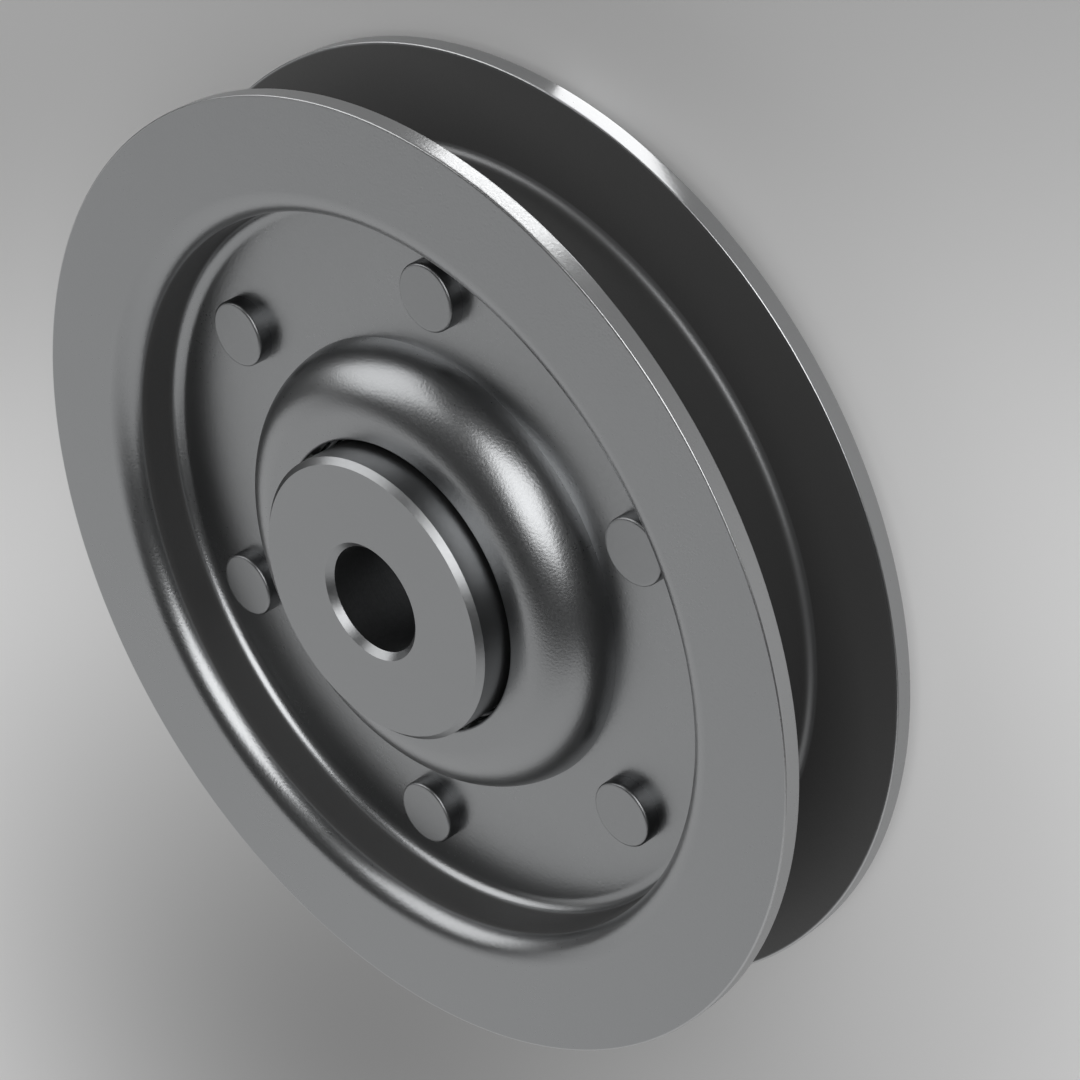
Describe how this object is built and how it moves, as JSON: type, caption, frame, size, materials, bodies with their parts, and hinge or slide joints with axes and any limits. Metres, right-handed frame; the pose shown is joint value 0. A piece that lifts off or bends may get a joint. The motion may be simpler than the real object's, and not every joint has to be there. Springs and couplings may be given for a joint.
{
  "type": "flat groove sheave",
  "caption": "Riveted pressed-steel sheave with a flat belt groove, turning on a built-in ball bearing around a protruding bored hub.",
  "frame": {"origin": "middle of the bore, in the plane where the two pressed halves meet", "axes": "+Z along the bore axis, out of the face that the picture shows; a pair of rivets lies 30 degrees off X"},
  "size_m": [0.0854, 0.0854, 0.0186],
  "materials": {
    "pressed_steel": "satin pressed steel sheet",
    "hub_steel": "turned, satin",
    "race_steel": "hardened, ground",
    "ball_steel": "polished",
    "rivet_steel": "satin flat heads"
  },
  "bodies": {
    "hub": {"inner_ring": "hub_steel"},
    "sheave": {"front_half": "pressed_steel", "rear_half": "pressed_steel", "front_cup": "race_steel", "rear_cup": "race_steel", "rivet_1": "rivet_steel", "rivet_2": "rivet_steel", "rivet_3": "rivet_steel", "rivet_4": "rivet_steel", "rivet_5": "rivet_steel", "rivet_6": "rivet_steel"},
    "balls": {"ball_1": "ball_steel", "ball_2": "ball_steel", "ball_3": "ball_steel", "ball_4": "ball_steel", "ball_5": "ball_steel", "ball_6": "ball_steel", "ball_7": "ball_steel", "ball_8": "ball_steel", "ball_9": "ball_steel", "ball_10": "ball_steel", "ball_11": "ball_steel", "ball_12": "ball_steel"}
  },
  "joints": [
    {"name": "sheave_spin", "type": "hinge", "parent": "hub", "child": "sheave", "pos_m": [0, 0, 0], "axis": [0, 0, 1], "continuous": true},
    {"name": "ball_orbit", "type": "hinge", "parent": "hub", "child": "balls", "pos_m": [0, 0, 0], "axis": [0, 0, 1], "continuous": true}
  ],
  "couplings": [
    {"joint": "ball_orbit", "follows": "sheave_spin", "ratio": 0.628}
  ]
}
